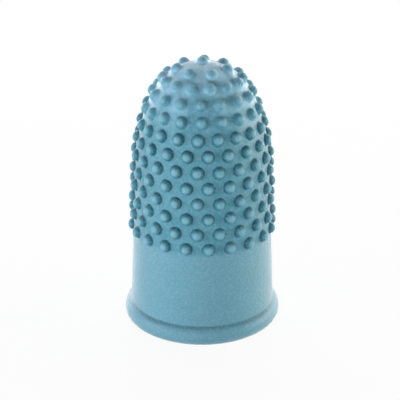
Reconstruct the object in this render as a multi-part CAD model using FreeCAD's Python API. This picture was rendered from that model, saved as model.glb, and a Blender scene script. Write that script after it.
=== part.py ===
import FreeCAD, Part
import math
import os

# Rubber finger tip, moulded in one piece: an open thimble with a round bead at its mouth,
# a gently tapered wall, a domed crown, and rings of round nubs over the upper part.
# Millimetres and degrees, +Z up. The origin is the centre of the mouth, on the plane
# that the rim stands on, and -Y is the front.

# Skin between the bead and the crown, measured outside and without its nubs
WALL = 1.1
FOOT_RADIUS = 9.79
TAPER = 2.6
CROWN_HEIGHT = 35.7
SHOULDER_DROP = 13.3
CROWN_TIGHTENING = 1.6

# Bead round the mouth
BEAD_PROUD = 0.71
BEAD_FOOT_ROUND = 1.2
BEAD_TOP_ROUND = 1.8

# Inside of the mouth
MOUTH_LAND = 3.2
MOUTH_ROUND = 0.3

# One nub: a tapered stem whose foot is buried in the skin, then a slope up to its tip
NUB_SIDES = 8
NUB_FOOT_RADIUS = 0.84
NUB_FOOT_DEPTH = 0.35
NUB_EDGE_RADIUS = 0.67
NUB_EDGE_HEIGHT = 0.44
NUB_TIP_RADIUS = 0.34
NUB_TIP_HEIGHT = 0.75

# Field of nubs, in rings counted from the crown down along the skin
POLE_GAP = 3.4
DOME_PITCH = 2.17
WALL_PITCH = 2.06
FIELD_FOOT = 12.9
DOME_RINGS = ((7, 20.9), (14, 10.8), (16, -2.3), (18, -1.1))
WALL_RING_COUNT = 20
FIELD_TURN = 4.9

# Worked out from the sizes above
SLOPE = math.tan(math.radians(TAPER))
LEAN = math.cos(math.radians(TAPER))
SHOULDER_HEIGHT = CROWN_HEIGHT - SHOULDER_DROP
WALL_TOP_RADIUS = FOOT_RADIUS - SLOPE * SHOULDER_HEIGHT
CROWN_ROUND = WALL_TOP_RADIUS - CROWN_TIGHTENING
CROWN_CENTRE = CROWN_HEIGHT - CROWN_ROUND
BEAD_RADIUS = FOOT_RADIUS + BEAD_PROUD
MOUTH_RADIUS = FOOT_RADIUS - WALL / LEAN - SLOPE * MOUTH_LAND


def shoulder_round():
    """Radius of the one arc that runs on from the taper and touches the crown's arc."""
    drop = SHOULDER_HEIGHT - CROWN_CENTRE
    reach = WALL_TOP_RADIUS ** 2 + drop ** 2 - CROWN_ROUND ** 2
    return reach / (2 * (LEAN * (WALL_TOP_RADIUS + SLOPE * drop) - CROWN_ROUND))


SHOULDER_ROUND = shoulder_round()
SHOULDER_CENTRE_RADIUS = WALL_TOP_RADIUS - SHOULDER_ROUND * LEAN
SHOULDER_CENTRE_HEIGHT = SHOULDER_HEIGHT - SHOULDER_ROUND * LEAN * SLOPE
SHOULDER_START = math.radians(TAPER)
SHOULDER_END = math.atan2(CROWN_CENTRE - SHOULDER_CENTRE_HEIGHT, -SHOULDER_CENTRE_RADIUS)


def point(radius, height):
    """A point of the section, which lies in the XZ plane."""
    return FreeCAD.Vector(radius, 0, height)


def polar(centre, radius, angle):
    """The point of a circle of the section at an angle above the horizontal, in radians."""
    return centre + point(radius * math.cos(angle), radius * math.sin(angle))


def line(start, end):
    return Part.LineSegment(start, end).toShape()


def arc(centre, radius, start, end):
    """An arc of the section from one angle to another."""
    middle = polar(centre, radius, (start + end) / 2)
    return Part.Arc(polar(centre, radius, start), middle, polar(centre, radius, end)).toShape()


def bead_meets_wall():
    """Height at which the bead's upper round cuts the line of the taper."""
    gap = BEAD_TOP_ROUND - BEAD_PROUD
    middle = BEAD_FOOT_ROUND + SLOPE * gap
    rest = BEAD_FOOT_ROUND ** 2 + gap ** 2 - BEAD_TOP_ROUND ** 2
    return (middle + math.sqrt(middle ** 2 - rest * (1 + SLOPE ** 2))) / (1 + SLOPE ** 2)


def skin_section():
    """The closed section of the thimble: outside from mouth to crown, and back inside."""
    bead_foot_centre = point(BEAD_RADIUS - BEAD_FOOT_ROUND, BEAD_FOOT_ROUND)
    bead_top_centre = point(BEAD_RADIUS - BEAD_TOP_ROUND, BEAD_FOOT_ROUND)
    shoulder_centre = point(SHOULDER_CENTRE_RADIUS, SHOULDER_CENTRE_HEIGHT)
    crown_centre = point(0, CROWN_CENTRE)
    crease_height = bead_meets_wall()
    crease = point(FOOT_RADIUS - SLOPE * crease_height, crease_height)
    bead_end = math.atan2(crease.z - bead_top_centre.z, crease.x - bead_top_centre.x)
    inner_shoulder = SHOULDER_ROUND - WALL
    inner_crown = CROWN_ROUND - WALL
    mouth_centre = point(MOUTH_RADIUS + MOUTH_ROUND, MOUTH_ROUND)
    land_top = point(MOUTH_RADIUS, MOUTH_LAND)
    straight_up = math.pi / 2
    edges = [
        line(point(mouth_centre.x, 0), point(bead_foot_centre.x, 0)),
        arc(bead_foot_centre, BEAD_FOOT_ROUND, -straight_up, 0),
        arc(bead_top_centre, BEAD_TOP_ROUND, 0, bead_end),
        line(crease, point(WALL_TOP_RADIUS, SHOULDER_HEIGHT)),
        arc(shoulder_centre, SHOULDER_ROUND, SHOULDER_START, SHOULDER_END),
        arc(crown_centre, CROWN_ROUND, SHOULDER_END, straight_up),
        line(point(0, CROWN_HEIGHT), point(0, CROWN_HEIGHT - WALL)),
        arc(crown_centre, inner_crown, straight_up, SHOULDER_END),
        arc(shoulder_centre, inner_shoulder, SHOULDER_END, SHOULDER_START),
        line(polar(shoulder_centre, inner_shoulder, SHOULDER_START), land_top),
        line(land_top, point(MOUTH_RADIUS, MOUTH_ROUND)),
        arc(mouth_centre, MOUTH_ROUND, math.pi, 3 * straight_up),
    ]
    return Part.Face(Part.Wire(edges))


def thimble():
    """The skin with its bead, turned about the Z axis."""
    return skin_section().revolve(FreeCAD.Vector(0, 0, 0), FreeCAD.Vector(0, 0, 1), 360)


def on_skin(distance):
    """Radius, height and rise of the outward normal, this far down the skin from the pole."""
    crown_length = CROWN_ROUND * (math.pi / 2 - SHOULDER_END)
    shoulder_length = SHOULDER_ROUND * (SHOULDER_END - SHOULDER_START)
    if distance < crown_length:
        rise = math.pi / 2 - distance / CROWN_ROUND
        place = polar(point(0, CROWN_CENTRE), CROWN_ROUND, rise)
        return place.x, place.z, rise
    distance -= crown_length
    if distance < shoulder_length:
        rise = SHOULDER_END - distance / SHOULDER_ROUND
        centre = point(SHOULDER_CENTRE_RADIUS, SHOULDER_CENTRE_HEIGHT)
        place = polar(centre, SHOULDER_ROUND, rise)
        return place.x, place.z, rise
    distance -= shoulder_length
    height = SHOULDER_HEIGHT - distance * LEAN
    return FOOT_RADIUS - SLOPE * height, height, SHOULDER_START


def nub_rings():
    """Each ring's distance from the pole, its number of nubs and its turn from the front."""
    rings = []
    distance = POLE_GAP
    for count, turn in DOME_RINGS:
        rings.append((distance, count, turn))
        distance += DOME_PITCH
    row = 0
    while on_skin(distance)[1] > FIELD_FOOT:
        half_pitch = 180 / WALL_RING_COUNT
        turn = FIELD_TURN - half_pitch if row % 2 == 0 else FIELD_TURN
        rings.append((distance, WALL_RING_COUNT, turn))
        distance += WALL_PITCH
        row += 1
    return rings


def nub_outline(radius, height):
    """The corners of one level of a nub, the first one repeated at the end."""
    corners = []
    for side in range(NUB_SIDES + 1):
        angle = 2 * math.pi * (side + 0.5) / NUB_SIDES
        corners.append(FreeCAD.Vector(radius * math.cos(angle), radius * math.sin(angle), height))
    return corners


def flat_face(corners):
    return Part.Face(Part.makePolygon(corners))


def upright_nub():
    """One nub on the origin, made of flat faces between its three levels."""
    foot = nub_outline(NUB_FOOT_RADIUS, -NUB_FOOT_DEPTH)
    edge = nub_outline(NUB_EDGE_RADIUS, NUB_EDGE_HEIGHT)
    tip = nub_outline(NUB_TIP_RADIUS, NUB_TIP_HEIGHT)
    faces = [flat_face(foot[::-1]), flat_face(tip)]
    for lower, upper in ((foot, edge), (edge, tip)):
        for side in range(NUB_SIDES):
            faces.append(flat_face([
                lower[side], lower[side + 1], upper[side + 1], upper[side], lower[side],
            ]))
    return Part.makeSolid(Part.makeShell(faces))


def nub_field():
    """A nub at the pole and one at every place of the rings, each square to the skin."""
    nub = upright_nub()
    up = FreeCAD.Vector(0, 0, 1)
    pole = nub.copy()
    pole.Placement = FreeCAD.Placement(point(0, CROWN_HEIGHT), FreeCAD.Rotation())
    nubs = [pole]
    for distance, count, turn in nub_rings():
        radius, height, rise = on_skin(distance)
        for number in range(count):
            angle = math.radians(turn + 360 * number / count)
            outward = FreeCAD.Vector(math.sin(angle), -math.cos(angle), 0)
            normal = outward * math.cos(rise) + up * math.sin(rise)
            placed = nub.copy()
            seat = outward * radius + up * height
            placed.Placement = FreeCAD.Placement(seat, FreeCAD.Rotation(up, normal))
            nubs.append(placed)
    return nubs


def finger_tip():
    """The whole moulding: the thimble with its nubs grown on."""
    return thimble().fuse(nub_field())


os.makedirs("parts", exist_ok=True)
moulding = finger_tip()
moulding.exportStep("parts/finger_tip.step")
print("finger_tip", len(moulding.Solids), "solid,", round(moulding.Volume, 1), "cubic millimetres")
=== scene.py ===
import logging
import math
from dataclasses import asdict, dataclass, field
from enum import Enum

import bmesh
import bpy
import numpy as np
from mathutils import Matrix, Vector


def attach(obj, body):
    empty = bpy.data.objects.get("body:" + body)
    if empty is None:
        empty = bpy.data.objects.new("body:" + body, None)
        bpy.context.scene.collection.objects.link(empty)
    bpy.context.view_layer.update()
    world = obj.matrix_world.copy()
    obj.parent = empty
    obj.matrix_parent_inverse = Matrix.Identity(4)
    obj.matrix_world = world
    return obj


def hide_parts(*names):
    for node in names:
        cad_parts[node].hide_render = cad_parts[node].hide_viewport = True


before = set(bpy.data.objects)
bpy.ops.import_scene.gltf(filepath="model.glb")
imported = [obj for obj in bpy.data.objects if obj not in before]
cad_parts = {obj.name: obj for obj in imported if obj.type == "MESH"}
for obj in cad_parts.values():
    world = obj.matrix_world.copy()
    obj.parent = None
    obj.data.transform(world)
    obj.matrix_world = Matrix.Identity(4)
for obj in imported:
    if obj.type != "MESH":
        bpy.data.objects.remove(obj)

# The looks of a moulded rubber finger tip: one continuous rubber skin with a bead round its
# mouth and rings of soft-rooted nubs, its finishes, and the studio round it.
# Shapes are worked out in millimetres and written to the meshes in metres.
# Angles round the Z axis start at the front, -Y, and grow towards +X.

MM = 0.001
NODE = "finger_tip"
BODY = "root"
FULL_TURN = 2 * math.pi
QUARTER_TURN = math.pi / 2
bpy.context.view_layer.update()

Share = float | np.ndarray
Pair = tuple[float, float]
Place = tuple[float, float, float]
Colour = tuple[float, float, float]
Socket = bpy.types.NodeSocket
Feed = Socket | float | Colour

WHITE: Colour = (1.0, 1.0, 1.0)

log = logging.getLogger("finger_tip")


class Layer(Enum):
    """A value at each vertex, by its name on the mesh: share of a nub's height, nearness to its root."""

    RISE = "nub_rise"
    ROOT = "nub_root"


class Zone(Enum):
    """A zone of the rubber with a finish of its own, by the number of its material on the mesh."""

    SKIN = 0
    NUB = 1


class Sum(Enum):
    """What a Math node works out from the values that it is fed."""

    TIMES = "MULTIPLY"
    LESS = "SUBTRACT"
    SIZE = "ABSOLUTE"
    TIMES_AND_PLUS = "MULTIPLY_ADD"
    LARGER = "MAXIMUM"


class Step(Enum):
    """How a ramp goes from one end to the other."""

    STRAIGHT = "LINEAR"
    EASED = "SMOOTHSTEP"


class Carries(Enum):
    """What an input or an output of a node group carries."""

    NUMBER = "NodeSocketFloat"
    COLOUR = "NodeSocketColor"


@dataclass(frozen=True)
class Outline:
    """The skin's section: a taper, a shoulder arc and a crown arc, all tangent, in millimetres."""

    foot_radius: float = 9.79
    taper: float = math.radians(2.6)
    crown_height: float = 35.7
    shoulder_drop: float = 13.3
    crown_tightening: float = 1.6
    wall: float = 1.1

    @property
    def shoulder_height(self) -> float:
        """Height at which the taper ends."""
        return self.crown_height - self.shoulder_drop

    @property
    def wall_top_radius(self) -> float:
        """Radius of the skin where the taper ends."""
        return self.foot_radius - math.tan(self.taper) * self.shoulder_height

    @property
    def crown_round(self) -> float:
        """Radius of the crown's arc, whose centre lies on the axis."""
        return self.wall_top_radius - self.crown_tightening

    @property
    def crown_centre(self) -> float:
        """Height of the crown arc's centre."""
        return self.crown_height - self.crown_round

    @property
    def shoulder_round(self) -> float:
        """Radius of the one arc that leaves the taper and touches the crown's arc.

        Its centre lies that radius in from the taper's end, square to the taper, and as far
        from the crown's centre as the two radii differ. The radius follows from both.

        Returns:
            The radius.
        """
        slope, lean = math.tan(self.taper), math.cos(self.taper)
        drop = self.shoulder_height - self.crown_centre
        reach = self.wall_top_radius ** 2 + drop ** 2 - self.crown_round ** 2
        return reach / (2 * (lean * (self.wall_top_radius + slope * drop) - self.crown_round))

    @property
    def shoulder_centre(self) -> Pair:
        """The shoulder arc's centre, which lies beyond the axis.

        Returns:
            Its radius and height.
        """
        radius = self.wall_top_radius - self.shoulder_round * math.cos(self.taper)
        height = self.shoulder_height - self.shoulder_round * math.sin(self.taper)
        return radius, height

    @property
    def shoulder_end(self) -> float:
        """Angle at which the shoulder's arc hands over to the crown's."""
        radius, height = self.shoulder_centre
        return math.atan2(self.crown_centre - height, -radius)

    @property
    def crown_length(self) -> float:
        """Length of the crown's arc, from the pole to the shoulder's."""
        return self.crown_round * (QUARTER_TURN - self.shoulder_end)

    @property
    def arcs_length(self) -> float:
        """Length of both arcs, from the pole to the taper."""
        return self.crown_length + self.shoulder_round * (self.shoulder_end - self.taper)

    def at(self, distance: Share, inset: float = 0.0) -> tuple[np.ndarray, np.ndarray, np.ndarray]:
        """The section at distances down the skin from the pole.

        The rise of the normal falls from a right angle by distance over radius on each arc
        and stays at the taper below them. A point is its arc's centre plus its radius along
        the normal, or a point of the straight taper.

        Args:
            distance: how far down the outside from the pole.
            inset: how far under the outside, square to it.

        Returns:
            Radius, height and rise of the outward normal, as arrays.
        """
        distance = np.asarray(distance, dtype=float)
        centre_radius, centre_height = self.shoulder_centre
        on_crown, on_shoulder = distance < self.crown_length, distance < self.arcs_length
        crown_rise = QUARTER_TURN - distance / self.crown_round
        shoulder_rise = self.shoulder_end - (distance - self.crown_length) / self.shoulder_round
        rise = np.select([on_crown, on_shoulder], [crown_rise, shoulder_rise], self.taper)
        straight_height = self.shoulder_height - (distance - self.arcs_length) * math.cos(self.taper)
        straight_radius = self.foot_radius - math.tan(self.taper) * straight_height
        radius = np.select(
            [on_crown, on_shoulder],
            [self.crown_round * np.cos(rise), centre_radius + self.shoulder_round * np.cos(rise)],
            straight_radius,
        )
        height = np.select(
            [on_crown, on_shoulder],
            [
                self.crown_centre + self.crown_round * np.sin(rise),
                centre_height + self.shoulder_round * np.sin(rise),
            ],
            straight_height,
        )
        return radius - inset * np.cos(rise), height - inset * np.sin(rise), rise

    def distance_at(self, height: float) -> float:
        """Distance down the skin from the pole at which the straight taper has this height."""
        return self.arcs_length + (self.shoulder_height - height) / math.cos(self.taper)


def turned(radius: np.ndarray, height: np.ndarray, angle: np.ndarray) -> np.ndarray:
    """Points at a radius, height and angle: x is radius sin angle and y is minus radius cos angle.

    Args:
        radius: distances from the axis.
        height: heights above the rim.
        angle: angles round the axis from the front, in radians.

    Returns:
        An array in the shape that the three have together, with x, y, z as its last axis.
    """
    radius, height, angle = np.broadcast_arrays(radius, height, angle)
    return np.stack([radius * np.sin(angle), -radius * np.cos(angle), height], axis=-1)


def arc(centre: Pair, radius: float, start: float, end: float, steps: int) -> np.ndarray:
    """Section points along an arc, the centre plus the radius at evenly spaced angles.

    Args:
        centre: radius and height of the arc's centre.
        radius: the arc's own radius.
        start: first angle above the horizontal, in radians.
        end: last angle.
        steps: number of chords.

    Returns:
        An array of radius and height pairs, both ends included.
    """
    angle = np.linspace(start, end, steps + 1)
    return np.stack([centre[0] + radius * np.cos(angle), centre[1] + radius * np.sin(angle)], axis=-1)


@dataclass(frozen=True)
class Loop:
    """A closed row of vertices round the axis: their numbers and their angles."""

    numbers: np.ndarray
    angle: np.ndarray

    def in_order(self) -> "Loop":
        """Sorts the loop by angle.

        Returns:
            The same loop by growing angle, each angle within one turn.
        """
        angle = self.angle % FULL_TURN
        order = np.argsort(angle)
        return Loop(self.numbers[order], angle[order])


@dataclass
class Surface:
    """Collects patches of one closed skin, with each vertex's layers, in millimetres."""

    weld: float = 0.002
    points: list[np.ndarray] = field(default_factory=list)
    layers: dict[Layer, list[np.ndarray]] = field(default_factory=lambda: {layer: [] for layer in Layer})
    faces: list[list[int]] = field(default_factory=list)
    size: int = 0

    def add_points(self, points: np.ndarray, rise: Share = 0.0, root: Share = 0.0) -> np.ndarray:
        """Adds points of any grid shape.

        Args:
            points: array of places, the last axis x, y, z.
            rise: share of a nub's height at each point.
            root: nearness to a nub's root at each point.

        Returns:
            The new vertices' numbers, in the shape of the grid.
        """
        shape = points.shape[:-1]
        self.points.append(points.reshape(-1, 3))
        for layer, values in ((Layer.RISE, rise), (Layer.ROOT, root)):
            self.layers[layer].append(np.broadcast_to(values, shape).reshape(-1))
        numbers = self.size + np.arange(math.prod(shape)).reshape(shape)
        self.size += numbers.size
        return numbers

    def add_quads(self, numbers: np.ndarray) -> None:
        """Joins neighbours on the last two axes of a grid, which closes round its last axis.

        Args:
            numbers: vertex numbers, one row of the grid after another.
        """
        after = np.roll(numbers, -1, axis=-1)
        corners = [numbers[..., :-1, :], after[..., :-1, :], after[..., 1:, :], numbers[..., 1:, :]]
        self.faces.extend(np.stack(corners, axis=-1).reshape(-1, 4).tolist())

    def add_fans(self, rims: np.ndarray, tips: np.ndarray) -> None:
        """Closes each rim with triangles to its own tip.

        Args:
            rims: vertex numbers, a closed rim along the last axis.
            tips: one vertex number for each rim.
        """
        tips = np.broadcast_to(tips[..., None], rims.shape)
        triangles = np.stack([rims, np.roll(rims, -1, axis=-1), tips], axis=-1)
        self.faces.extend(triangles.reshape(-1, 3).tolist())

    def add_zip(self, upper: Loop, lower: Loop) -> None:
        """Joins two closed loops of different counts with one strip of triangles.

        Each vertex makes a triangle with the one before it on its own loop and with the last
        one that the other loop has reached by the same angle.

        Args:
            upper: the loop nearer to the pole.
            lower: the loop nearer to the mouth.
        """
        first, second = upper.in_order(), lower.in_order()
        reached_second = second.numbers[np.searchsorted(second.angle, first.angle, side="left") - 1]
        reached_first = first.numbers[np.searchsorted(first.angle, second.angle, side="right") - 1]
        down = np.stack([np.roll(first.numbers, 1), first.numbers, reached_second], axis=-1)
        back = np.stack([second.numbers, np.roll(second.numbers, 1), reached_first], axis=-1)
        self.faces.extend(np.concatenate([down, back]).tolist())

    def to_object(self, name: str) -> bpy.types.Object:
        """Welds the patches' shared edges, turns the faces outward and makes the smooth piece.

        Args:
            name: what the piece and its mesh are called.

        Returns:
            The piece, linked to the scene, with its layers and the zone of each face.
        """
        mesh = bpy.data.meshes.new(name)
        mesh.from_pydata((np.concatenate(self.points) * MM).tolist(), [], self.faces)
        for layer, values in self.layers.items():
            attribute = mesh.attributes.new(layer.value, "FLOAT", "POINT")
            attribute.data.foreach_set("value", np.concatenate(values).astype(np.float32))
        shell = bmesh.new()
        shell.from_mesh(mesh)
        bmesh.ops.remove_doubles(shell, verts=shell.verts, dist=self.weld * MM)
        bmesh.ops.recalc_face_normals(shell, faces=shell.faces)
        shell.to_mesh(mesh)
        shell.free()
        mesh.polygons.foreach_set("use_smooth", np.ones(len(mesh.polygons), dtype=bool))
        self.mark_zones(mesh)
        mesh.update()
        piece = bpy.data.objects.new(name, mesh)
        bpy.context.scene.collection.objects.link(piece)
        return piece

    @staticmethod
    def mark_zones(mesh: bpy.types.Mesh) -> None:
        """Puts a face in the nubs' zone if some layer is above nought at each of its corners.

        Args:
            mesh: the welded mesh, with its layers.
        """
        values = np.zeros((len(Layer), len(mesh.vertices)), dtype=np.float32)
        for row, layer in zip(values, Layer):
            mesh.attributes[layer.value].data.foreach_get("value", row)
        corners = np.empty(len(mesh.loops), dtype=np.int32)
        mesh.loops.foreach_get("vertex_index", corners)
        starts = np.empty(len(mesh.polygons), dtype=np.int32)
        mesh.polygons.foreach_get("loop_start", starts)
        on_nub = values.max(axis=0) > 0
        all_on_nub = np.logical_and.reduceat(on_nub[corners], starts)
        zones = np.where(all_on_nub, Zone.NUB.value, Zone.SKIN.value)
        mesh.polygons.foreach_set("material_index", zones.astype(np.int32))


@dataclass(frozen=True)
class NubShape:
    """One nub's section: a concave root, then a rounded stem and dome, in millimetres."""

    radius: float = 0.80
    height: float = 0.75
    root_round: float = 0.13
    root_fade: float = 0.55
    flank: float = math.radians(76)
    sunk: float = 0.18
    squareness: float = 2.2
    root_steps: int = 2
    dome_steps: int = 3

    def section(self) -> tuple[np.ndarray, np.ndarray]:
        """The section from the root's outer edge to the last circle under the tip.

        The dome is the upper part of a superellipse whose middle is sunk under the skin, with
        the cosine and the sine of its angle each raised to two over the squareness. The root
        is an arc that starts flat on the skin and meets the dome at the flank's slope.

        Returns:
            Distances from the nub's axis, and heights above the skin.
        """
        power = 2 / self.squareness
        foot_up = self.root_round * (1 - math.cos(self.flank))
        half_height = self.height + self.sunk
        start = math.asin(((foot_up + self.sunk) / half_height) ** (1 / power))
        climb = np.linspace(start, QUARTER_TURN, self.dome_steps + 1)[:-1]
        dome_out = self.radius * (np.cos(climb) / math.cos(start)) ** power
        dome_up = half_height * np.sin(climb) ** power - self.sunk
        turn = np.linspace(0, self.flank, self.root_steps + 1)[:-1]
        root_out = self.radius + self.root_round * (math.sin(self.flank) - np.sin(turn))
        root_up = self.root_round * (1 - np.cos(turn))
        return np.concatenate([root_out, dome_out]), np.concatenate([root_up, dome_up])

    def root_share(self, out: np.ndarray, up: np.ndarray) -> np.ndarray:
        """Nearness to the root, which weighs the painted root shade: one at the stem's foot, nought at the
        root's edge and above the fade.

        It is the smaller of two straight lines, one down with the distance outside the stem
        and one down with the height over the root, kept between nought and one. The second
        reaches nought after the fade's share of the nub's height.

        Args:
            out: distances from the nub's axis.
            up: heights above the skin.

        Returns:
            The nearness at each of them.
        """
        outside = 1 - (out - self.radius) / self.root_round
        above = 1 - (up - self.root_round) / (self.root_fade * self.height)
        return np.clip(np.minimum(outside, above), 0, 1)


@dataclass(frozen=True)
class Ring:
    """One ring of nubs: its place on the skin, the ends of its band, its count and its turn."""

    distance: float
    upper: float
    lower: float
    count: int
    turn: float


@dataclass(frozen=True)
class NubField:
    """The rings of nubs, stepped off down the skin from the pole, in millimetres and degrees."""

    pole_gap: float = 3.4
    dome_pitch: float = 2.17
    wall_pitch: float = 2.06
    field_foot: float = 12.9
    dome_rings: tuple[tuple[int, float], ...] = ((7, 20.9), (14, 10.8), (16, -2.3), (18, -1.1))
    wall_count: int = 20
    field_turn: float = 4.9
    seam: float = 0.06
    across: int = 4
    along: int = 3
    apron_steps: int = 1
    pole_spokes: int = 16
    pole_apron_steps: int = 2
    size_spread: float = 0.035
    place_spread: float = 0.035
    seed: int = 11

    def rings(self, outline: Outline) -> list[Ring]:
        """Every ring with its band, which ends half-way to its neighbours.

        Bands of equal counts share their edge, and others leave a narrow seam between them
        for a strip that joins unequal loops.

        Args:
            outline: the skin's section.

        Returns:
            The rings from the pole down to the field's foot.
        """
        dome = enumerate(self.dome_rings)
        places = [(self.pole_gap + self.dome_pitch * row, *ring) for row, ring in dome]
        distance = self.pole_gap + self.dome_pitch * len(self.dome_rings)
        half_pitch = 180 / self.wall_count
        row = 0
        while outline.at(distance)[1] > self.field_foot:
            turn = self.field_turn - half_pitch * (1 - row % 2)
            places.append((distance, self.wall_count, turn))
            distance += self.wall_pitch
            row += 1
        rings = []
        upper = self.pole_gap - self.dome_pitch / 2
        for (distance, count, turn), below in zip(places, [*places[1:], None]):
            edge, gap = distance + self.wall_pitch / 2, 0.0
            if below:
                next_distance, next_count, _ = below
                edge = (distance + next_distance) / 2
                gap = self.seam / 2 if next_count != count else 0.0
            rings.append(Ring(distance, upper, edge - gap, count, math.radians(turn)))
            upper = edge + gap
        return rings

    def cell_edge(self) -> tuple[np.ndarray, np.ndarray, np.ndarray]:
        """A cell's edge points, each with the angle of the nub's point that it goes with.

        The edge runs round a square of side two from its lower right corner, and the angles
        are even, set so that the middle of the right side is at zero.

        Returns:
            The points' shares of the cell's half width and half height, and the angles.
        """
        rise = np.linspace(-1, 1, self.along + 1)[:-1]
        run = np.linspace(1, -1, self.across + 1)[:-1]
        side, top = np.ones(self.along), np.ones(self.across)
        share_across = np.concatenate([side, run, -side, -run])
        share_up = np.concatenate([rise, top, -rise, -top])
        number = np.arange(share_across.size)
        return share_across, share_up, FULL_TURN * (number - self.along / 2) / number.size

    def add_ring(
        self,
        surface: Surface,
        outline: Outline,
        shape: NubShape,
        ring: Ring,
        rng: np.random.Generator,
    ) -> tuple[Loop, Loop]:
        """Adds the band of one ring: each cell is a nub, its root and an apron out to the cell's edge.

        A point of the nub lies at its distance from the nub's axis, along and across the
        skin, and is lifted by its height along the normal at the nub's own centre, so that
        the stems stand upright. The apron runs straight from the root's circle to the edge
        of the cell, on the skin.

        Args:
            surface: the skin that the band joins.
            outline: the skin's section.
            shape: the nub's section.
            ring: the ring and the ends of its band.
            rng: draws each nub's width, height and shift, in that order.

        Returns:
            The upper and the lower loop of the band.
        """
        share_across, share_up, spoke = self.cell_edge()
        out, up = shape.section()
        middle = ring.turn + FULL_TURN * np.arange(ring.count) / ring.count
        scale = 1 + self.size_spread * rng.uniform(-1, 1, (ring.count, 1, 1))
        tall = 1 + self.size_spread * rng.uniform(-1, 1, (ring.count, 1, 1))
        shift_across, shift_up = self.place_spread * rng.uniform(-1, 1, (2, ring.count, 1, 1))
        across = scale * out[None, :, None] * np.cos(spoke) + shift_across
        upward = scale * out[None, :, None] * np.sin(spoke) + shift_up
        nub_distance = ring.distance - upward
        nub_angle = across / outline.at(nub_distance)[0]
        half_height = np.where(share_up > 0, ring.distance - ring.upper, ring.lower - ring.distance)
        edge_distance = ring.distance - share_up * half_height
        edge_angle = share_across * math.pi / ring.count
        share = np.linspace(1, 0, self.apron_steps + 1)[:-1, None]
        apron_distance = share * edge_distance + (1 - share) * nub_distance[:, :1]
        apron_angle = share * edge_angle + (1 - share) * nub_angle[:, :1]
        distance = np.concatenate([apron_distance, nub_distance], axis=1)
        angle = np.concatenate([apron_angle, nub_angle], axis=1) + middle[:, None, None]
        radius, height, _ = outline.at(distance)
        flat = np.zeros(self.apron_steps)
        lift = np.concatenate([flat, up])[None, :, None]
        root = np.concatenate([flat, shape.root_share(out, up)])[None, :, None]
        rise = outline.at(ring.distance)[2]
        normal = turned(np.cos(rise), np.sin(rise), middle)[:, None, None]
        points = turned(radius, height, angle) + normal * (lift * tall)[..., None]
        numbers = surface.add_points(points, lift / shape.height, root)
        surface.add_quads(numbers)
        tip_radius, tip_height, _ = outline.at(ring.distance - shift_up[:, 0, 0])
        tips = turned(tip_radius, tip_height, middle + shift_across[:, 0, 0] / tip_radius)
        tips = tips + normal[:, 0, 0] * (shape.height * tall[:, :, 0])
        surface.add_fans(numbers[:, -1], surface.add_points(tips, 1.0))
        top = slice(self.along, self.along + self.across)
        bottom = slice(self.along + top.stop, None)
        rim, angles = numbers[:, 0], middle[:, None] + edge_angle
        upper = Loop(rim[:, top].ravel(), angles[:, top].ravel())
        lower = Loop(rim[:, bottom].ravel(), angles[:, bottom].ravel())
        return upper, lower

    def add_pole(self, surface: Surface, outline: Outline, shape: NubShape, reach: float) -> Loop:
        """Adds the nub on the pole with an apron out to the first band.

        Args:
            surface: the skin that it joins.
            outline: the skin's section.
            shape: the nub's section.
            reach: the distance from the pole at which the apron ends.

        Returns:
            The apron's outer loop.
        """
        out, up = shape.section()
        apron = np.linspace(reach, out[0], self.pole_apron_steps + 1)[:-1]
        spoke = FULL_TURN * np.arange(self.pole_spokes) / self.pole_spokes
        lift = np.concatenate([np.zeros(apron.size), up])
        radius, height, _ = outline.at(np.concatenate([apron, out]))
        points = turned(radius[:, None], (height + lift)[:, None], spoke)
        numbers = surface.add_points(points, lift[:, None] / shape.height)
        surface.add_quads(numbers)
        tip = turned(np.zeros(1), np.array([outline.crown_height + shape.height]), np.zeros(1))
        surface.add_fans(numbers[-1:], surface.add_points(tip, 1.0))
        return Loop(numbers[0], spoke)


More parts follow.
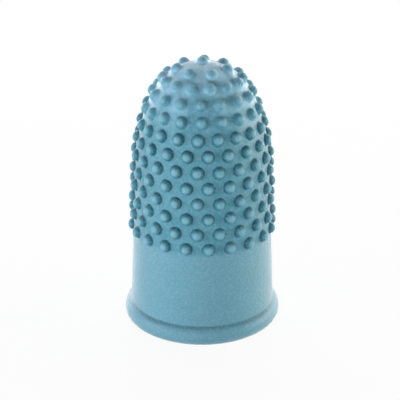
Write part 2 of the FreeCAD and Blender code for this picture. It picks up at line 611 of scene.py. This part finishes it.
@dataclass(frozen=True)
class Mouth:
    """The bead round the mouth and the inside of the thimble, in millimetres."""

    bead_proud: float = 0.71
    bead_foot_round: float = 1.2
    bead_top_round: float = 1.8
    land: float = 3.2
    edge_round: float = 0.3
    crease_round: float = 0.14
    band_steps: int = 10
    crease_steps: int = 3
    bead_steps: int = 8
    edge_steps: int = 4
    inside_steps: int = 26

    def bead_centre(self, outline: Outline, bead_round: float) -> Pair:
        """Radius and height of the centre of one of the bead's two rounds, which meet at its widest."""
        return outline.foot_radius + self.bead_proud - bead_round, self.bead_foot_round

    def crease(self, outline: Outline) -> np.ndarray:
        """The small concave arc between wall and bead.

        Its centre is one crease radius out from the taper, and that radius plus the upper
        round's from the centre of the bead's upper round.

        Args:
            outline: the skin's section.

        Returns:
            An array of radius and height pairs, the first one on the wall.
        """
        bead_radius, bead_height = self.bead_centre(outline, self.bead_top_round)
        slope, lean = math.tan(outline.taper), math.cos(outline.taper)
        offset = outline.foot_radius + self.crease_round / lean
        reach = self.bead_top_round + self.crease_round
        gap = offset - bead_radius
        middle = bead_height + slope * gap
        rest = bead_height ** 2 + gap ** 2 - reach ** 2
        height = (middle + math.sqrt(middle ** 2 - rest * (1 + slope ** 2))) / (1 + slope ** 2)
        centre = (offset - slope * height, height)
        to_bead = math.atan2(bead_height - centre[1], bead_radius - centre[0]) % FULL_TURN
        return arc(centre, self.crease_round, math.pi + outline.taper, to_bead, self.crease_steps)

    def section(self, outline: Outline, start: float) -> np.ndarray:
        """Section points from the lowest band of nubs down over the bead and up inside to the pole.

        Args:
            outline: the skin's section.
            start: distance from the pole at which the bands end.

        Returns:
            An array of radius and height pairs, the last one on the axis.
        """
        crease = self.crease(outline)
        band = np.linspace(start, outline.distance_at(crease[0, 1]), self.band_steps + 1)[:-1]
        centre = self.bead_centre(outline, self.bead_top_round)
        bead_top = math.atan2(crease[-1, 1] - centre[1], crease[-1, 0] - centre[0])
        upper_bead = arc(centre, self.bead_top_round, bead_top, 0, self.bead_steps)
        foot_centre = self.bead_centre(outline, self.bead_foot_round)
        lower_bead = arc(foot_centre, self.bead_foot_round, 0, -QUARTER_TURN, self.bead_steps)
        mouth_radius = outline.foot_radius - outline.wall / math.cos(outline.taper)
        mouth_radius -= math.tan(outline.taper) * self.land
        edge_centre = (mouth_radius + self.edge_round, self.edge_round)
        edge = arc(edge_centre, self.edge_round, -QUARTER_TURN, -math.pi, self.edge_steps)
        inside = np.linspace(outline.distance_at(self.land), 0, self.inside_steps + 1)
        outer_wall = np.stack(outline.at(band)[:2], axis=-1)
        inner_wall = np.stack(outline.at(inside, outline.wall)[:2], axis=-1)
        return np.concatenate([outer_wall, crease, upper_bead[1:], lower_bead[1:], edge, inner_wall])

    def add(self, surface: Surface, outline: Outline, start: float, angle: np.ndarray) -> None:
        """Turns the section about the axis and closes the inner pole.

        Args:
            surface: the skin that it joins.
            outline: the skin's section.
            start: distance from the pole at which the bands end.
            angle: the angles of the lowest band's loop, which the section is turned to.
        """
        section = self.section(outline, start)
        points = turned(section[:-1, 0, None], section[:-1, 1, None], np.sort(angle % FULL_TURN))
        numbers = surface.add_points(points)
        surface.add_quads(numbers)
        pole = turned(np.zeros(1), section[-1:, 1], np.zeros(1))
        surface.add_fans(numbers[-1:], surface.add_points(pole))


@dataclass(frozen=True)
class Bench:
    """Adds nodes to one shader tree and joins them."""

    tree: bpy.types.NodeTree

    def add(self, kind: str) -> bpy.types.Node:
        """A new shader node of a kind, such as Math."""
        return self.tree.nodes.new(f"ShaderNode{kind}")

    def feed(self, target: Socket, value: Feed) -> None:
        """Feeds an input from another node's output, or sets it to a number or an opaque colour.

        Args:
            target: the input.
            value: the output, number or colour.
        """
        if isinstance(value, Socket):
            self.tree.links.new(value, target)
        elif isinstance(value, tuple):
            target.default_value = (*value, 1.0)
        else:
            target.default_value = value

    def group(self, tree: bpy.types.NodeTree, values: dict[str, Feed]) -> bpy.types.Node:
        """Places a node group.

        Args:
            tree: the group.
            values: what its inputs are fed, by their names.

        Returns:
            The group's node.
        """
        node = self.add("Group")
        node.node_tree = tree
        for label, value in values.items():
            self.feed(node.inputs[label], value)
        return node

    def maths(self, kind: Sum, *values: Feed) -> Socket:
        """Works a sum out.

        Args:
            kind: which sum.
            values: outputs or numbers, in the sum's order.

        Returns:
            The result.
        """
        node = self.add("Math")
        node.operation = kind.value
        for target, value in zip(node.inputs, values):
            self.feed(target, value)
        return node.outputs["Value"]

    def ramp(self, value: Socket, limits: Pair, ends: Pair = (0.0, 1.0), step: Step = Step.EASED) -> Socket:
        """Follows a value from one end to the other between two limits, and holds the ends beyond them.

        Args:
            value: what is followed.
            limits: the values at which the result has its first and its second end.
            ends: those two results.
            step: how it goes between them.

        Returns:
            The result.
        """
        node = self.add("MapRange")
        node.interpolation_type = step.value
        for label, number in zip(("From Min", "From Max", "To Min", "To Max"), (*limits, *ends)):
            node.inputs[label].default_value = number
        self.feed(node.inputs["Value"], value)
        return node.outputs["Result"]

    def mix(self, mask: Socket, under: Feed, over: Feed, share: float = 1.0) -> Socket:
        """Lays one colour over another where a mask says so.

        Args:
            mask: one where the second colour lies and nought elsewhere.
            under: the first colour.
            over: the second colour.
            share: how strong the second colour is where the mask is one.

        Returns:
            The mixed colour.
        """
        if share < 1.0:
            mask = self.maths(Sum.TIMES, mask, share)
        node = self.add("Mix")
        node.data_type = "RGBA"
        for label, value in (("Factor", mask), ("A", under), ("B", over)):
            self.feed(node.inputs[label], value)
        return node.outputs["Result"]

    def layer(self, layer: Layer) -> Socket:
        """Reads one of the mesh's layers.

        Args:
            layer: which one.

        Returns:
            Its value.
        """
        node = self.add("Attribute")
        node.attribute_name = layer.value
        return node.outputs["Fac"]

    def height(self) -> Socket:
        """Reads the height.

        Returns:
            The height above the plane of the rim, in metres.
        """
        split = self.add("SeparateXYZ")
        self.feed(split.inputs["Vector"], self.add("TexCoord").outputs["Object"])
        return split.outputs["Z"]

    def seen(self) -> Socket:
        """Tells the rays that show the surroundings from those that light the object.

        Returns:
            A mask that is one for camera, glossy and transmission rays and nought for others.
        """
        path = self.add("LightPath").outputs
        straight_or_mirrored = self.maths(Sum.LARGER, path["Is Camera Ray"], path["Is Glossy Ray"])
        return self.maths(Sum.LARGER, straight_or_mirrored, path["Is Transmission Ray"])


def new_group(name: str, inputs: dict[str, float | Colour], outputs: dict[str, Carries]) -> Bench:
    """Makes an empty shader node group.

    Args:
        name: what it is called.
        inputs: the first value of each input, a number or a colour, by the input's name.
        outputs: what each output carries, by its name.

    Returns:
        A bench on the group's tree.
    """
    tree = bpy.data.node_groups.new(name, "ShaderNodeTree")
    bench = Bench(tree)
    for label, value in inputs.items():
        kind = Carries.COLOUR if isinstance(value, tuple) else Carries.NUMBER
        bench.feed(tree.interface.new_socket(label, in_out="INPUT", socket_type=kind.value), value)
    for label, kind in outputs.items():
        tree.interface.new_socket(label, in_out="OUTPUT", socket_type=kind.value)
    return bench


def in_metres(pair: Pair) -> Pair:
    """A pair of heights or reaches in millimetres, turned to metres."""
    return pair[0] * MM, pair[1] * MM


@dataclass(frozen=True)
class Grain:
    """Shader node group: fine moulded grain, as a height and a soft mottling mask."""

    name: str = "moulded_grain"
    fine_scale: float = 3400.0
    fine_detail: float = 4.0
    cloud_scale: float = 420.0
    cloud_detail: float = 3.0
    roughness: float = 0.6

    def build(self) -> bpy.types.NodeTree:
        """Makes the group from two noises on the object's own places, a fine one and a broad one.

        Returns:
            The group, with their scales as inputs and the height and the clouds as outputs.
        """
        scales = {"Grain Scale": self.fine_scale, "Cloud Scale": self.cloud_scale}
        bench = new_group(self.name, scales, {"Height": Carries.NUMBER, "Clouds": Carries.NUMBER})
        entry = bench.tree.nodes.new("NodeGroupInput").outputs
        leave = bench.tree.nodes.new("NodeGroupOutput").inputs
        place = bench.add("TexCoord").outputs["Object"]
        noises = (("Grain Scale", "Height", self.fine_detail), ("Cloud Scale", "Clouds", self.cloud_detail))
        for scale, result, detail in noises:
            noise = bench.add("TexNoise")
            bench.feed(noise.inputs["Vector"], place)
            bench.feed(noise.inputs["Scale"], entry[scale])
            bench.feed(noise.inputs["Detail"], detail)
            bench.feed(noise.inputs["Roughness"], self.roughness)
            bench.feed(leave[result], noise.outputs["Fac"])
        return bench.tree


@dataclass(frozen=True)
class Palette:
    """The rubber's colours, each named as the colouring group's input that it feeds."""

    deep: Colour = (0.042, 0.205, 0.275)
    clouded: Colour = (0.06, 0.235, 0.31)
    # Pale bloom on the plain band, partly painted sheen.
    bloom: Colour = (0.10, 0.27, 0.35)
    # Painted shade, laid into the nubs' roots and into the crease over the bead.
    root: Colour = (0.002, 0.05, 0.075)
    # Pale worn tips, partly a painted highlight.
    tip: Colour = (0.15, 0.36, 0.45)
    # Dust and painted sheen on the crown.
    crown: Colour = (0.25, 0.49, 0.64)
    chalk: Colour = (0.34, 0.47, 0.55)

    def inputs(self) -> dict[str, Colour]:
        """Each colour by the name of its input."""
        return {name.title(): colour for name, colour in asdict(self).items()}


@dataclass(frozen=True)
class Colouring:
    """Shader node group: the rubber's colour, from its grain, its height and the skin's layers.

    Clouds lighten the deep colour. The plain band has a pale bloom, partly painted sheen, and the
    crease over the bead is darkened with painted shade. The nubs' tips are worn pale, partly as a
    painted highlight, and their roots are darkened with painted shade, less so on the dome, where a
    coat of dust and painted sheen lies between the nubs and on their lower parts. Chalk speckles all of it.
    Heights and reaches are in millimetres.
    """

    name: str = "rubber_colouring"
    cloud_limits: Pair = (0.35, 0.65)
    # The plain band's pale bloom, partly painted sheen.
    plain_heights: Pair = (13.3, 12.3)
    bloom_share: float = 0.85
    # Painted shade along the crease over the bead.
    crease_height: float = 2.62
    crease_reach: Pair = (0.36, 0.03)
    crease_share: float = 0.36
    # The nubs' tips: pale wear, partly a painted highlight.
    worn_rise: Pair = (0.6, 1.0)
    worn_share: float = 0.8
    # Painted shade at the nubs' roots, fading out on the dome.
    root_heights: Pair = (31.5, 26.5)
    root_share: float = 0.85
    # The crown's pale coat: dust and painted sheen between the nubs.
    crown_heights: Pair = (29.5, 37.5)
    crown_waver: float = 2.5
    dust_rise: Pair = (1.15, 0.1)
    dust_share: float = 0.85
    chalk_limits: Pair = (0.42, 0.68)
    chalk_share: float = 0.16
    mean_noise: float = 0.5

    def build(self, palette: Palette) -> bpy.types.NodeTree:
        """Makes the group, which lays one colour after another over the deep one.

        Args:
            palette: the first values of the colour inputs.

        Returns:
            The group, with the grain, the clouds and each colour as inputs, and the colour as output.
        """
        inputs = {"Grain": self.mean_noise, "Clouds": self.mean_noise, **palette.inputs()}
        bench = new_group(self.name, inputs, {"Colour": Carries.COLOUR})
        entry = bench.tree.nodes.new("NodeGroupInput").outputs
        leave = bench.tree.nodes.new("NodeGroupOutput").inputs
        height, rise = bench.height(), bench.layer(Layer.RISE)
        clouds = bench.ramp(entry["Clouds"], self.cloud_limits)
        coats = (
            (clouds, "Clouded", 1.0),
            # Pale bloom on the plain band, partly painted sheen.
            (bench.ramp(height, in_metres(self.plain_heights)), "Bloom", self.bloom_share),
            # Painted shade in the crease over the bead, in the root colour.
            (self.crease(bench, height), "Root", self.crease_share),
            # Worn pale tips, partly a painted highlight.
            (bench.ramp(rise, self.worn_rise), "Tip", self.worn_share),
            # Painted shade at the nubs' roots.
            (self.roots(bench, height), "Root", self.root_share),
            # Dust and painted sheen on the crown, kept off the nubs' upper parts.
            (self.dust(bench, height, rise, clouds), "Crown", self.dust_share),
            (bench.ramp(entry["Grain"], self.chalk_limits), "Chalk", self.chalk_share),
        )
        colour = entry["Deep"]
        for mask, over, share in coats:
            colour = bench.mix(mask, colour, entry[over], share)
        bench.feed(leave["Colour"], colour)
        return bench.tree

    def crease(self, bench: Bench, height: Socket) -> Socket:
        """A mask of painted shade in the crease over the bead, by the distance from its height.

        Args:
            bench: the group's bench.
            height: the height above the rim.

        Returns:
            The mask.
        """
        away = bench.maths(Sum.SIZE, bench.maths(Sum.LESS, height, self.crease_height * MM))
        return bench.ramp(away, in_metres(self.crease_reach))

    def roots(self, bench: Bench, height: Socket) -> Socket:
        """A mask of painted shade at the nubs' roots, which fades out on the dome.

        Args:
            bench: the group's bench.
            height: the height above the rim.

        Returns:
            The mask.
        """
        low = bench.ramp(height, in_metres(self.root_heights))
        return bench.maths(Sum.TIMES, bench.layer(Layer.ROOT), low)

    def dust(self, bench: Bench, height: Socket, rise: Socket, clouds: Socket) -> Socket:
        """A mask of the crown's dust and painted sheen, which comes in with a height that wavers with the
        clouds.

        Args:
            bench: the group's bench.
            height: the height above the rim.
            rise: share of a nub's height.
            clouds: the soft mottling.

        Returns:
            The mask.
        """
        wavering = bench.maths(Sum.TIMES_AND_PLUS, clouds, self.crown_waver * MM, height)
        high = bench.ramp(wavering, in_metres(self.crown_heights))
        return bench.maths(Sum.TIMES, high, bench.ramp(rise, self.dust_rise))


@dataclass(frozen=True)
class RubberFinish:
    """Matte steel-blue rubber with a fine grain, depths in millimetres."""

    name: str = "blue_rubber"
    palette: Palette = Palette()
    roughness: Pair = (0.36, 0.5)
    sheen: float = 0.85
    sheen_roughness: float = 0.37
    specular: float = 0.25
    bump_strength: float = 0.7
    bump_depth: float = 0.12

    def build(self, grain: bpy.types.NodeTree, colouring: bpy.types.NodeTree) -> bpy.types.Material:
        """Makes the material from the two groups.

        Args:
            grain: the group that gives the grain's height and the clouds.
            colouring: the group that gives the colour.

        Returns:
            The material.
        """
        material = bpy.data.materials.new(self.name)
        material.use_nodes = True
        bench = Bench(material.node_tree)
        texture = bench.group(grain, {}).outputs
        colours = {"Grain": texture["Height"], "Clouds": texture["Clouds"], **self.palette.inputs()}
        bump = bench.add("Bump")
        bench.feed(bump.inputs["Strength"], self.bump_strength)
        bench.feed(bump.inputs["Distance"], self.bump_depth * MM)
        bench.feed(bump.inputs["Height"], texture["Height"])
        values = (
            ("Base Color", bench.group(colouring, colours).outputs["Colour"]),
            ("Roughness", bench.ramp(texture["Height"], (0.0, 1.0), self.roughness, Step.STRAIGHT)),
            ("Normal", bump.outputs["Normal"]),
            ("Specular IOR Level", self.specular),
            ("Sheen Weight", self.sheen),
            ("Sheen Roughness", self.sheen_roughness),
        )
        shader = material.node_tree.nodes["Principled BSDF"]
        for label, value in values:
            bench.feed(shader.inputs[label], value)
        return material


@dataclass
class FingerTip:
    """The whole moulding: one skin, with its nubs, its bead, its inside and its finishes."""

    outline: Outline = Outline()
    nub: NubShape = NubShape()
    nubs: NubField = NubField()
    mouth: Mouth = Mouth()
    grain: Grain = Grain()
    colouring: Colouring = Colouring()
    finishes: dict[Zone, RubberFinish] = field(default_factory=lambda: {
        Zone.SKIN: RubberFinish(),
        Zone.NUB: RubberFinish(name="nub_rubber", sheen=0.12, specular=0.14),
    })

    def build(self) -> bpy.types.Object:
        """Adds the pole, the bands of nubs from the top down and the mouth, and makes the piece.

        Returns:
            The skin.
        """
        surface = Surface()
        rng = np.random.default_rng(self.nubs.seed)
        rings = self.nubs.rings(self.outline)
        above = self.nubs.add_pole(surface, self.outline, self.nub, rings[0].upper - self.nubs.seam)
        above_count = 0
        for ring in rings:
            upper, lower = self.nubs.add_ring(surface, self.outline, self.nub, ring, rng)
            if ring.count != above_count:
                surface.add_zip(above, upper)
            above, above_count = lower, ring.count
        self.mouth.add(surface, self.outline, rings[-1].lower, above.angle)
        return surface.to_object("finger_tip_skin")

    def dress(self, piece: bpy.types.Object) -> None:
        """Gives the piece each zone's rubber, hangs it on its body and hides the CAD part that it stands in
        for.

        Args:
            piece: the skin.
        """
        grain = self.grain.build()
        colouring = self.colouring.build(self.finishes[Zone.SKIN].palette)
        for zone in Zone:
            piece.data.materials.append(self.finishes[zone].build(grain, colouring))
        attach(piece, BODY)
        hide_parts(NODE)


@dataclass(frozen=True)
class SoftLamp:
    """A flat soft lamp: where it stands, its width and height, and its power in watts."""

    name: str
    place: Place
    size: Pair
    power: float
    colour: Colour = WHITE

    def build(self, aim: Vector) -> None:
        """Makes the lamp, which the camera doesn't see.

        Args:
            aim: the point that it faces.
        """
        data = bpy.data.lights.new(self.name, "AREA")
        data.shape = "RECTANGLE"
        data.size, data.size_y = self.size
        data.energy = self.power
        data.color = self.colour
        lamp = bpy.data.objects.new(self.name, data)
        lamp.location = self.place
        lamp.rotation_euler = (aim - lamp.location).to_track_quat("-Z", "Y").to_euler()
        lamp.visible_camera = False
        bpy.context.scene.collection.objects.link(lamp)


@dataclass(frozen=True)
class FloorFinish:
    """A pale matt floor that glows white for the camera, a little less round the object, in metres."""

    name: str = "pale_floor"
    colour: Colour = (0.86, 0.86, 0.86)
    roughness: float = 0.9
    specular: float = 0.0
    glow: Pair = (0.93, 1.0)
    glow_reach: Pair = (0.04, 0.16)

    def build(self) -> bpy.types.Material:
        """Makes the material, whose glow grows with the distance from the middle of the floor.

        Returns:
            The material.
        """
        material = bpy.data.materials.new(self.name)
        material.use_nodes = True
        nodes = material.node_tree.nodes
        bench = Bench(material.node_tree)
        matt, blend, away = nodes["Principled BSDF"], bench.add("MixShader"), bench.add("VectorMath")
        bench.feed(matt.inputs["Base Color"], self.colour)
        bench.feed(matt.inputs["Roughness"], self.roughness)
        bench.feed(matt.inputs["Specular IOR Level"], self.specular)
        away.operation = "LENGTH"
        bench.feed(away.inputs[0], bench.add("TexCoord").outputs["Object"])
        glow = bench.ramp(away.outputs["Value"], self.glow_reach, self.glow, Step.STRAIGHT)
        bench.feed(blend.inputs["Fac"], bench.maths(Sum.TIMES, glow, bench.seen()))
        bench.feed(blend.inputs[1], matt.outputs["BSDF"])
        bench.feed(blend.inputs[2], bench.add("Emission").outputs["Emission"])
        bench.feed(nodes["Material Output"].inputs["Surface"], blend.outputs["Shader"])
        return material


@dataclass(frozen=True)
class Studio:
    """Pale floor, white surroundings, soft lamps and the camera, in metres and degrees."""

    floor_half: float = 3.0
    floor_drop: float = 0.00002
    floor_finish: FloorFinish = FloorFinish()
    world_light: float = 0.08
    camera_rise: float = 23.13
    camera_distance: float = 0.1717
    camera_clip: Pair = (0.01, 20.0)
    aim: Place = (-0.0003, 0.0, 0.01659)
    lens: float = 116.1
    lamps: tuple[SoftLamp, ...] = (
        SoftLamp("left_softbox", (-0.31, -0.113, 0.042), (0.26, 0.08), 0.95, (1.0, 0.94, 0.97)),
        SoftLamp("right_softbox", (0.329, 0.029, 0.042), (0.26, 0.08), 1.2, (1.0, 0.91, 0.84)),
        SoftLamp("front_softbox", (-0.03, -0.2, 0.028), (0.14, 0.052), 0.212),
        SoftLamp("back_left_softbox", (-0.175, 0.28, 0.058), (0.2, 0.115), 0.6, (0.95, 0.97, 1.0)),
        SoftLamp("back_right_softbox", (0.175, 0.28, 0.058), (0.2, 0.115), 0.6),
        SoftLamp("crown_softbox", (0.0, 0.19, 0.265), (0.2, 0.1), 0.52, (0.93, 0.97, 1.0)),
    )

    def build(self) -> None:
        """Makes everything round the object."""
        self.build_floor()
        self.build_world()
        for lamp in self.lamps:
            lamp.build(Vector(self.aim))
        self.build_camera()
        bpy.context.scene.view_settings.view_transform = "Standard"

    def build_floor(self) -> None:
        """Makes the floor, a square that lies just under the rim."""
        half, drop = self.floor_half, -self.floor_drop
        mesh = bpy.data.meshes.new("floor")
        corners = [(-half, -half, drop), (half, -half, drop), (half, half, drop), (-half, half, drop)]
        mesh.from_pydata(corners, [], [(0, 1, 2, 3)])
        mesh.materials.append(self.floor_finish.build())
        floor = bpy.data.objects.new("floor", mesh)
        bpy.context.scene.collection.objects.link(floor)

    def build_world(self) -> None:
        """Sets soft white light all round, and plain white where the camera sees past the floor."""
        world = bpy.data.worlds.new("surroundings")
        bpy.context.scene.world = world
        world.use_nodes = True
        bench = Bench(world.node_tree)
        strength = bench.ramp(bench.seen(), (0.0, 1.0), (self.world_light, 1.0), Step.STRAIGHT)
        background = world.node_tree.nodes["Background"]
        bench.feed(background.inputs["Color"], WHITE)
        bench.feed(background.inputs["Strength"], strength)

    def build_camera(self) -> None:
        """Makes the camera, a long lens in front of the object that looks down at it."""
        data = bpy.data.cameras.new("camera")
        data.lens = self.lens
        data.clip_start, data.clip_end = self.camera_clip
        camera = bpy.data.objects.new("camera", data)
        rise = math.radians(self.camera_rise)
        away = Vector((0, -math.cos(rise), math.sin(rise))) * self.camera_distance
        camera.location = Vector(self.aim) + away
        camera.rotation_euler = (-away).to_track_quat("-Z", "Y").to_euler()
        bpy.context.scene.collection.objects.link(camera)
        bpy.context.scene.camera = camera


def main() -> None:
    """Builds the finger tip, dresses it and sets the studio round it."""
    logging.basicConfig(level=logging.INFO, format="%(name)s: %(message)s")
    finger_tip = FingerTip()
    piece = finger_tip.build()
    finger_tip.dress(piece)
    mesh = piece.data
    log.info("%s has %d vertices and %d faces", piece.name, len(mesh.vertices), len(mesh.polygons))
    Studio().build()
    log.info("studio is set")


if __name__ == "__main__":
    main()
